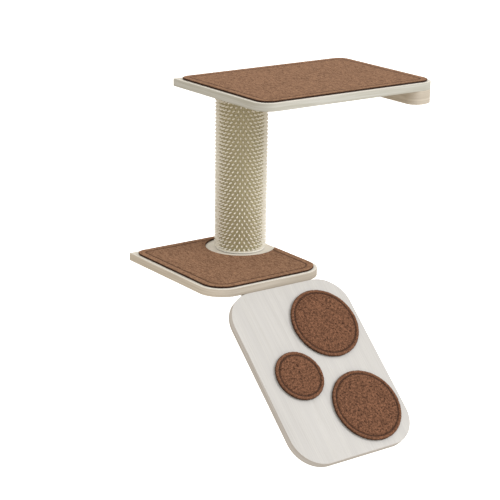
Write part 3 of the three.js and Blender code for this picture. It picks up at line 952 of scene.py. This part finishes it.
def raise_pile(piece, base, thickness, sewing):
    """Small real tufts over the top and the rolled edge."""
    points = read_points(piece.data)
    upper = np.clip((points[:, 2] - base) / (0.4 * thickness), 0, 1)
    group_of(piece, "pile", upper)
    texture = bpy.data.textures.new("pile", "CLOUDS")
    texture.noise_scale = sewing.tuft
    texture.noise_depth = 1
    change(
        piece,
        "DISPLACE",
        texture=texture,
        texture_coords="GLOBAL",
        strength=sewing.pile,
        mid_level=0.5,
        vertex_group="pile",
    )


def sew(cover, outline, base, top, sewing):
    """Draws the sewn line down, closes the underside and raises the pile."""
    press_seam(cover, outline, base, top - base, sewing)
    close_underside(cover, base + 0.4 * MM)
    raise_pile(cover, base, top - base, sewing)
    smooth(cover, 180)


def stitches(name, marks, height, finish):
    """A row of thread stitches at the marks, each a short round-ended bar."""
    end = STITCH_LENGTH / 2
    stitch = rod("stitch", STITCH_RADIUS, (-end, 0, 0), (end, 0, 0), sides=6)
    round_edges(stitch, lambda a, b: near(a.x, b.x), STITCH_RADIUS * 0.6, 1)
    for vertex in stitch.data.vertices:
        vertex.co.z -= STITCH_DIP * (vertex.co.x / end) ** 2
    places = [
        Matrix.Translation((spot[0], spot[1], height)) @ Matrix.Rotation(heading, 4, "Z")
        for spot, heading in marks
    ]
    row = spread(name, stitch, places)
    paint(row, finish)
    smooth(row, 60)
    return row


def shelf_mat(name, node, board_corner, finish, post=None):
    """A short-pile mat with a rolled edge and a sewn line inside it, cut out round a post."""
    low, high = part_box(node)
    corner = board_corner - MAT_INSET
    outline = Outline(low.x, high.x, low.y, high.y, corner, MAT_BACK_CORNER)
    mat = block(name, low, high)
    round_corners(mat, low, high, (corner, corner), (MAT_BACK_CORNER, MAT_BACK_CORNER))
    marks = outline.walk(MAT_SEWING.inset, STITCH_PITCH)
    if post:
        cut_out(mat, pillar("cutout", MAT_CUTOUT, low.z - MM, high.z + MM, 96, post))
        marks = [m for m in marks if math.dist(m[0], post) > MAT_CUTOUT + STITCH_LENGTH]
    round_edges(mat, level_edges(high.z), MAT_ROLL, 4)
    round_edges(mat, level_edges(low.z), MAT_UNDERCUT, 2)
    change(mat, "REMESH", mode="VOXEL", voxel_size=MAT_VOXEL)
    sew(mat, outline, low.z, high.z, MAT_SEWING)
    paint(mat, finish)
    hand_over(mat, "mat_carpet", node)
    row = stitches(f"{name}_stitching", marks, high.z - MAT_SEWING.sink, MAT_THREAD)
    hand_over(row, "mat_carpet")


def ramp_pad(name, node):
    """A round foam pad under felt, with a full rim outside its sewn line."""
    low, high = box_in(RAMP_PLACE, node)
    middle = (low + high) / 2
    radius = (high.x - low.x) / 2
    outline = Outline(-radius, radius, -radius, radius, radius, radius)
    base = PAD_LIFT
    top = high.z - PAD_TOP_ROOM
    pad = pillar(name, radius - PAD_RIM_ROOM, base, top, PAD_SIDES)
    round_edges(pad, level_edges(top), PAD_ROLL, 5)
    round_edges(pad, level_edges(base), PAD_UNDERCUT, 3)
    change(pad, "REMESH", mode="VOXEL", voxel_size=PAD_VOXEL)
    points = read_points(pad.data)
    on_seam = np.abs(outline.inward(points) - PAD_SEWING.inset) < 0.6 * PAD_VOXEL
    glued = points[:, 2] < base + PAD_GLUE
    puff(pad, np.where(glued | on_seam, 1.0, 0.0), pressure=3, most=PAD_SWELL)
    change(pad, "SUBSURF", levels=2, render_levels=2)
    points = read_points(pad.data)
    points[:, 2] = np.maximum(points[:, 2], base)
    write_points(pad.data, points)
    sew(pad, outline, base, top, PAD_SEWING)
    paint(pad, PAD_CARPET)
    place = RAMP_PLACE @ Matrix.Translation((middle.x, middle.y, 0))
    put(pad, place)
    hand_over(pad, "pad_carpet", node)
    marks = outline.walk(PAD_SEWING.inset, STITCH_PITCH)
    row = stitches(f"{name}_stitching", marks, top - PAD_SEWING.sink, PAD_THREAD)
    put(row, place)
    hand_over(row, "pad_carpet")


# ---- post ----

def bristle():
    """One bristle along +X, with a flared root and a blunt tip."""
    flare = 1.3 * MM
    nose = 0.45 * MM
    clear_selection()
    bpy.ops.mesh.primitive_cone_add(
        vertices=BRISTLE_SIDES,
        radius1=BRISTLE_WAIST,
        radius2=BRISTLE_TIP,
        depth=BRISTLE_LENGTH - flare - nose,
        location=((flare + BRISTLE_LENGTH - nose) / 2, 0, 0),
        rotation=(0, math.pi / 2, 0),
    )
    piece = settle("bristle")
    ends = [(1, nose, 0.5), (-1, flare + 0.2 * MM, BRISTLE_ROOT / BRISTLE_WAIST)]
    for side, reach, growth in ends:
        pick(piece, "FACE", lambda centre, normal, side=side: normal.x * side > 0.9)
        draw_out((side * reach, 0, 0))
        stretch(1, growth, growth)
        put_down()
    return piece


def bristle_sleeve(number):
    """A ring of the sleeve: its backing, and staggered rows of bristles."""
    node = f"bristle_sleeve_{number}"
    low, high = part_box(node)
    pitch = (high.z - low.z) / BRISTLE_ROWS
    drift = random.Random(number)
    places = []
    for row in range(BRISTLE_ROWS):
        stagger = 0.5 * ((row + number * BRISTLE_ROWS) % 2)
        height = low.z + (row + 0.5) * pitch
        for count in range(BRISTLES_ROUND):
            angle = (count + stagger) / BRISTLES_ROUND * 2 * math.pi
            place = Matrix.Translation((*POST, height))
            place = place @ Matrix.Rotation(angle, 4, "Z")
            place = place @ Matrix.Translation((SLEEVE_RADIUS, 0, 0))
            place = place @ Matrix.Rotation(drift.gauss(0, 0.5) * BRISTLE_TILT, 4, "Y")
            place = place @ Matrix.Rotation(drift.gauss(0, 0.5) * BRISTLE_TILT, 4, "Z")
            places.append(place)
    bristles = spread("bristles", bristle(), places)
    smooth(bristles, 70)
    backing = pillar("backing", SLEEVE_RADIUS, low.z, high.z, SLEEVE_SIDES, POST)
    cut_out(backing, pillar("bore", SLEEVE_BORE, low.z - MM, high.z + MM, SLEEVE_SIDES, POST))
    ease_sharp_edges(backing, 0.3 * MM, 1)
    smooth(backing, 35)
    sleeve = joined(f"bristle_ring_{number}", [backing, bristles])
    paint(sleeve, BRISTLES)
    hand_over(sleeve, "bristle_plastic", node)


def post_cap(name, node, upside_down):
    """A moulded cap: a flange on the board, set back at its foot, and a spigot in the tube."""
    low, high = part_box(node)
    radius = (high.x - low.x) / 2
    height = high.z - low.z
    set_back = 4 * MM
    foot_ring = 1.4 * MM
    spigot = 43.7 * MM
    wall = 3 * MM
    boss = 12 * MM
    bore = 6.6 * MM
    web = 8 * MM
    rounding = 1 * MM
    growth = radius / (radius - set_back)
    cap = pillar(name, radius - set_back, 0, foot_ring, 96)
    pick(cap, "FACE", top_face)
    bpy.ops.mesh.extrude_region_move()
    stretch(growth, growth, 1)
    draw_out((0, 0, FLANGE_HEIGHT - foot_ring))
    put_down()
    round_edges(cap, level_edges(FLANGE_HEIGHT), rounding, 3)
    pick(cap, "FACE", lambda centre, normal: normal.z > 0.9 and near(centre.z, FLANGE_HEIGHT))
    steps = [
        (radius - rounding - spigot, height - FLANGE_HEIGHT),
        (wall, web - height),
        (spigot - wall - boss, height - web),
    ]
    for inset, rise in steps:
        bpy.ops.mesh.inset(thickness=inset)
        draw_out((0, 0, rise))
    put_down()
    cut_out(cap, pillar("bore", bore, -MM, height + MM))
    smooth(cap, 35)
    # The foot ring under the flange gets the painted shade of the recess.
    paint(cap, CAP, CAP_RECESS_SHADE)
    for face in cap.data.polygons:
        face.material_index = 1 if face.center.z < foot_ring + 0.01 * MM else 0
    turn = Matrix.Rotation(math.pi, 4, "X") if upside_down else Matrix.Identity(4)
    foot = high.z if upside_down else low.z
    put(cap, Matrix.Translation((*POST, foot)) @ turn)
    hand_over(cap, "cap_plastic", node)


# ---- fasteners ----

def cross_recess(size, depth):
    """The tool that cuts a cross recess, at the origin."""
    arm = 0.55 * MM
    first = block("recess", (-size, -arm, -depth), (size, arm, depth))
    second = block("arm", (-arm, -size, -depth), (arm, size, depth))
    weld_on(first, second)
    return first


def screw_thread(start, end):
    """A ridge wound round the core, from one height to another."""
    turns = int((end - start) / THREAD_PITCH)
    clear_selection()
    bpy.ops.mesh.primitive_circle_add(
        vertices=3,
        radius=THREAD_RIDGE,
        fill_type="NGON",
        location=(SCREW_CORE + 0.1 * THREAD_RIDGE, 0, start + 1.2 * THREAD_RIDGE),
        rotation=(math.pi / 2, math.pi / 2, 0),
    )
    thread = settle("thread")
    change(
        thread,
        "SCREW",
        screw_offset=THREAD_PITCH,
        iterations=turns,
        steps=12,
        render_steps=12,
        use_merge_vertices=True,
    )
    pick(thread, "FACE", any_face)
    bpy.ops.mesh.fill_holes(sides=3)
    put_down()
    face_outwards(thread)
    return thread


def wood_screw(length):
    """A domed screw that points up, with the face under its head at the origin."""
    clear_selection()
    bpy.ops.mesh.primitive_uv_sphere_add(
        segments=28,
        ring_count=14,
        radius=1,
        scale=(SCREW_HEAD_RADIUS, SCREW_HEAD_RADIUS, SCREW_HEAD_HEIGHT),
    )
    head = settle("head")
    pick(head, "FACE", any_face)
    bpy.ops.mesh.bisect(plane_co=(0, 0, 0), plane_no=(0, 0, 1), clear_outer=True, use_fill=True)
    put_down()
    recess = cross_recess(2.3 * MM, 1.4 * MM)
    put(recess, Matrix.Translation((0, 0, -SCREW_HEAD_HEIGHT)))
    cut_out(head, recess)
    core = pillar("core", SCREW_CORE, -0.5 * MM, length - SCREW_TIP, 16)
    pick(core, "FACE", top_face)
    draw_out((0, 0, SCREW_TIP))
    stretch(0.1, 0.1, 1)
    put_down()
    thread = screw_thread(1.5 * MM, length - 2 * MM)
    screw = joined("wood_screw", [head, core, thread])
    smooth(screw, 30)
    paint(screw, ZINC)
    return screw


def screw_row(prefix, seats, length):
    """The screws of one row, all copies of one."""
    pattern = wood_screw(length)
    for number, seat in enumerate(seats, 1):
        turned = seat @ Matrix.Rotation(SCREW_TURN * number, 4, "Z")
        screw = copied(f"{prefix}_{number}_fine", pattern, turned)
        hand_over(screw, "fastener_steel", f"{prefix}_{number}")
    bpy.data.objects.remove(pattern)


def wood_screws():
    screw_row("upper_bracket_screw", UPPER_SEATS, BRACKET_SCREW)
    screw_row("lower_bracket_screw", LOWER_SEATS, BRACKET_SCREW)
    screw_row("ramp_shelf_screw", RAMP_SHELF_SEATS, RAMP_SCREW)
    screw_row("bearer_screw", BEARER_SEATS, BEARER_SCREW)
    screw_row("ramp_board_screw", RAMP_BOARD_SEATS, RAMP_SCREW)


def hanger_screws():
    """Two flat-headed screws that hold the hanger plate."""
    rim = 0.3 * MM
    cone = 2 * MM
    tip = 2.7 * MM
    for number in (1, 2):
        node = f"hanger_screw_{number}"
        low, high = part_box(node)
        middle = (low + high) / 2
        screw = pillar("screw", SCREW_HEAD_RADIUS, 0, rim, 28)
        pick(screw, "FACE", top_face)
        draw_out((0, 0, cone))
        stretch(0.4, 0.4, 1)
        draw_out((0, 0, high.y - low.y - rim - cone - tip))
        draw_out((0, 0, tip))
        stretch(0.1, 0.1, 1)
        put_down()
        cut_out(screw, cross_recess(2.1 * MM, 1.2 * MM))
        screw.name = f"{node}_fine"
        inwards = Matrix.Rotation(math.pi / 2, 4, "X")
        place = Matrix.Translation((middle.x, high.y, middle.z)) @ inwards
        complete(screw, ZINC, "fastener_steel", node, place, 30)


def post_bolt():
    """The hexagon bolt and washer under the lower shelf."""
    low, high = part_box("post_bolt_lower")
    washer_low, washer_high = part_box("post_washer_lower")
    place = Matrix.Translation((*POST, washer_low.z))
    foot = low.z - washer_low.z
    bolt = pillar("post_bolt", BOLT_HEAD, foot, 0, 6)
    chamfer = pillar("chamfer", BOLT_HEAD, foot, MM, 48)
    round_edges(chamfer, level_edges(foot), BOLT_CHAMFER, 1)
    combine(bolt, "INTERSECT", [chamfer])
    weld_on(bolt, pillar("shank", BOLT_SHANK, -MM, high.z - washer_low.z))
    complete(bolt, ZINC, "fastener_steel", "post_bolt_lower", place, 30)

    thickness = washer_high.z - washer_low.z
    washer = pillar("post_washer", (washer_high.x - washer_low.x) / 2, 0, thickness, 64)
    cut_out(washer, pillar("hole", WASHER_BORE, -MM, thickness + MM, 48))
    ease_sharp_edges(washer, 0.25 * MM)
    complete(washer, ZINC, "fastener_steel", "post_washer_lower", place)


# ---- steelwork ----

def wall_bracket(name, node, seats):
    """A steel angle with a web: a shelf leg, a bend and a wall leg."""
    low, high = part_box(node)
    middle = (low.x + high.x) / 2
    bend = BRACKET_BEND
    bracket = block(name, (low.x, low.y, high.z - BRACKET_PLATE), (high.x, -bend, high.z))
    round_corners(bracket, low, high, (BRACKET_CORNER, BRACKET_CORNER), steps=8)
    pick(bracket, "FACE", lambda centre, normal: normal.y > 0.9)
    bpy.ops.mesh.spin(
        steps=8,
        angle=math.pi / 2,
        center=(middle, -bend, high.z - bend),
        axis=(1, 0, 0),
    )
    draw_out((0, 0, bend - WALL_LEG))
    put_down()
    for x in (low.x, high.x):
        round_edges(bracket, cross_edges(x, high.z - WALL_LEG), BRACKET_CORNER, 8)
    face_outwards(bracket)
    half_web = WEB_THICKNESS / 2
    sink = BRACKET_PLATE / 2
    web = block(
        "web",
        (middle - half_web, -WEB_REACH, high.z - WEB_DROP),
        (middle + half_web, -sink, high.z - sink),
    )
    pick(web, "FACE", any_face)
    toe = Vector((middle, -WEB_REACH, high.z - BRACKET_PLATE - 3 * MM))
    heel = Vector((middle, -BRACKET_PLATE - 3 * MM, high.z - WEB_DROP))
    slope = (heel - toe).cross(Vector((1, 0, 0)))
    if slope.z > 0:
        slope.negate()
    bpy.ops.mesh.bisect(plane_co=toe, plane_no=slope, clear_outer=True, use_fill=True)
    put_down()
    weld_on(bracket, web)
    hole_height = high.z - WALL_HOLE_DROP
    holes = []
    for x in (middle - WALL_HOLE_SPACING / 2, middle + WALL_HOLE_SPACING / 2):
        start = (x, -BRACKET_PLATE - MM, hole_height)
        holes.append(rod("hole", WALL_HOLE, start, (x, MM, hole_height)))
    holes += [screw_hole(seat, BRACKET_PLATE + MM) for seat in seats]
    cut_out(bracket, *holes)
    ease_sharp_edges(bracket, STEEL_ARRIS)
    complete(bracket, COAT, "bracket_steel", node)


def ramp_plate(name, node, seats):
    """A plate bent to the ramp's slope, under the shelf and down the ramp's back."""
    low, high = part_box(node)
    back = LOWER_HIGH.z - LOWER_LOW.z + RAMP_BACK_GAP
    above_ramp = (LOWER_LOW.z - RAMP_TOP.z + back * SLOPE_OUT) / SLOPE_DOWN
    fold = RAMP_TOP.y + back * SLOPE_DOWN + above_ramp * SLOPE_OUT
    taken = RAMP_PLATE_BEND * math.tan(RAMP_SLOPE / 2)
    start = fold + taken
    plate = block(name, (low.x, start, high.z - RAMP_PLATE), (high.x, high.y, high.z))
    round_corners(plate, low, high, (), (BRACKET_CORNER, BRACKET_CORNER), 8)
    pick(plate, "FACE", lambda centre, normal: normal.y < -0.9)
    bpy.ops.mesh.spin(
        steps=6,
        angle=-RAMP_SLOPE,
        center=((low.x + high.x) / 2, start, high.z - RAMP_PLATE_BEND),
        axis=(1, 0, 0),
    )
    draw_out(Vector((0, -SLOPE_OUT, -SLOPE_DOWN)) * (RAMP_PLATE_LEG - taken))
    put_down()
    face_outwards(plate)
    cut_out(plate, *[screw_hole(seat, RAMP_PLATE + MM) for seat in seats])
    ease_sharp_edges(plate, STEEL_ARRIS)
    complete(plate, COAT, "bracket_steel", node)


def hanger_plate():
    """The keyhole hanger in the bearer's back."""
    low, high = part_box("bearer_hanger_plate")
    middle = (low + high) / 2
    plate = block("keyhole_hanger", low, high)
    for x in (low.x, high.x):
        for z in (low.z, high.z):
            round_edges(plate, cross_edges(x, z), HANGER_CORNER, 6)
    front = low.y - MM
    back = high.y + MM

    def hole(radius, x, z):
        return rod("hole", radius, (x, front, z), (x, back, z))

    head = hole(KEYHOLE_HEAD, middle.x, middle.z - KEYHOLE_RISE)
    neck = hole(KEYHOLE_NECK, middle.x, middle.z + KEYHOLE_RISE)
    slot = block(
        "slot",
        (middle.x - KEYHOLE_NECK, front, middle.z - KEYHOLE_RISE),
        (middle.x + KEYHOLE_NECK, back, middle.z + KEYHOLE_RISE),
    )
    seats = [
        hole(HANGER_SEAT, middle.x + side * HANGER_SEAT_OFFSET, middle.z) for side in (-1, 1)
    ]
    cut_out(plate, head, neck, slot, *seats)
    ease_sharp_edges(plate, 0.2 * MM)
    complete(plate, ZINC, "bracket_steel", "bearer_hanger_plate")


def steelwork():
    sides = ("left", "right")
    for row, seats in (("upper", UPPER_SEATS), ("lower", LOWER_SEATS)):
        for index, side in enumerate(sides):
            own = seats[3 * index:3 * index + 3]
            wall_bracket(f"{row}_{side}_bracket", f"wall_bracket_{row}_{side}", own)
    for index, side in enumerate(sides):
        own = slice(2 * index, 2 * index + 2)
        seats = RAMP_SHELF_SEATS[own] + RAMP_BOARD_SEATS[own]
        ramp_plate(f"{side}_ramp_plate", f"ramp_plate_{side}", seats)
    hanger_plate()


def hidden_parts():
    """The pieces inside the post keep their CAD shape and get their finish."""
    finishes = {
        "post_core_tube": PAPER,
        "foot_insert_nut": BRASS,
        "head_insert_nut": BRASS,
        "post_bolt_upper": ZINC,
    }
    for node, finish in finishes.items():
        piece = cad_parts[node]
        for slot in piece.material_slots:
            slot.material = finish
        if not piece.material_slots:
            piece.data.materials.append(finish)


# ---- stage, light and camera ----

CAMERA_PLACE = Vector((-2.22028, -3.01421, 0.71217))
CAMERA_YAW = math.radians(36.072)
CAMERA_PITCH = math.radians(17.212)
CAMERA_ROLL = math.radians(0.87)
CAMERA_LENS = 114.0
FLOOR_HEIGHT = -4
FLOOR_REACH = 1000
SKY_STRENGTH = (0.46, 1.02)
SKY_AWAY = (1, 0.88, 0.71, 1)
SKY_TOWARDS = (1, 0.98, 0.95, 1)
SKY_MIDDLE = Vector((0.1, -0.6, 0.8)).normalized()
KEY_FROM = (0.55, -0.62, 0.56)
KEY_STRENGTH = 0.93
KEY_WIDTH = 24


def camera():
    data = bpy.data.cameras.new("camera")
    data.lens = CAMERA_LENS
    data.clip_end = 2 * FLOOR_REACH
    eye = bpy.data.objects.new("camera", data)
    bpy.context.scene.collection.objects.link(eye)
    turn = Matrix.Rotation(-CAMERA_YAW, 4, "Z")
    turn = turn @ Matrix.Rotation(math.pi / 2 - CAMERA_PITCH, 4, "X")
    turn = turn @ Matrix.Rotation(CAMERA_ROLL, 4, "Z")
    eye.matrix_world = Matrix.Translation(CAMERA_PLACE) @ turn
    bpy.context.scene.camera = eye


def floor():
    """A white floor, lit evenly by itself so that it throws no light of its own on the tree."""
    clear_selection()
    bpy.ops.mesh.primitive_circle_add(
        vertices=96, radius=FLOOR_REACH, fill_type="NGON", location=(0, 0, FLOOR_HEIGHT)
    )
    ground = settle("floor")
    finish = Finish("floor_white", Roughness=0.9, Emission_Strength=0.75)
    cloud = finish.noise(3, detail=1)
    pale = finish.mix(cloud, shade(243, 243, 242), shade(246, 246, 245))
    paint(ground, finish.made(Base_Color=pale, Emission_Color=(1, 1, 1, 1)))
    ground.visible_diffuse = False
    ground.visible_glossy = False


def sun(name, direction, strength, width_degrees):
    """Light that comes from a direction, soft by the width of its source."""
    data = bpy.data.lights.new(name, "SUN")
    data.energy = strength
    data.angle = math.radians(width_degrees)
    lamp = bpy.data.objects.new(name, data)
    lamp.rotation_euler = Vector(direction).to_track_quat("Z", "Y").to_euler()
    bpy.context.scene.collection.objects.link(lamp)


def studio():
    """Soft light from all round, brighter and cooler from above and from the front, and a
    wide lamp at the front right. Behind the tree there is plain white, as the floor is."""
    world = bpy.data.worlds.new("studio")
    world.use_nodes = True
    nodes = world.node_tree.nodes
    wiring = Wiring(world.node_tree)
    here = wiring.node("ShaderNodeTexCoord", output="Generated")
    settings = {"operation": "DOT_PRODUCT"}
    facing = wiring.node("ShaderNodeVectorMath", settings, {0: here, 1: SKY_MIDDLE}, output="Value")

    def shared_out(away, towards):
        inputs = {0: facing, 1: -1, 2: 1, 3: away, 4: towards}
        return wiring.node("ShaderNodeMapRange", None, inputs)

    sky = nodes["Background"]
    wiring.feed(sky.inputs["Strength"], shared_out(*SKY_STRENGTH))
    wiring.feed(sky.inputs["Color"], wiring.mix(shared_out(0, 1), SKY_AWAY, SKY_TOWARDS))
    backdrop = wiring.node("ShaderNodeBackground", None, {"Color": (1, 1, 1, 1)})
    seen = wiring.node("ShaderNodeLightPath", output="Is Camera Ray")
    inputs = {0: seen, 1: Value(wiring, sky.outputs[0]), 2: backdrop}
    chosen = wiring.node("ShaderNodeMixShader", None, inputs)
    wiring.feed(nodes["World Output"].inputs["Surface"], chosen)
    bpy.context.scene.world = world
    sun("key", KEY_FROM, KEY_STRENGTH, KEY_WIDTH)


# ---- the tree ----

clear_selection()
bpy.context.scene.view_settings.view_transform = "Standard"
camera()
floor()
studio()
upper_shelf()
lower_shelf()
end_bearer()
ramp()
shelf_mat("upper_mat", "upper_shelf_mat", UPPER_CORNER, UPPER_CARPET)
shelf_mat("lower_mat", "lower_shelf_mat", LOWER_CORNER, LOWER_CARPET, POST)
for size in ("upper", "small", "lower"):
    ramp_pad(f"pad_{size}", f"ramp_pad_{size}")
for number in range(1, SLEEVES + 1):
    bristle_sleeve(number)
post_cap("foot_cap", "post_foot_cap", upside_down=False)
post_cap("head_cap", "post_head_cap", upside_down=True)
post_bolt()
wood_screws()
hanger_screws()
steelwork()
hidden_parts()
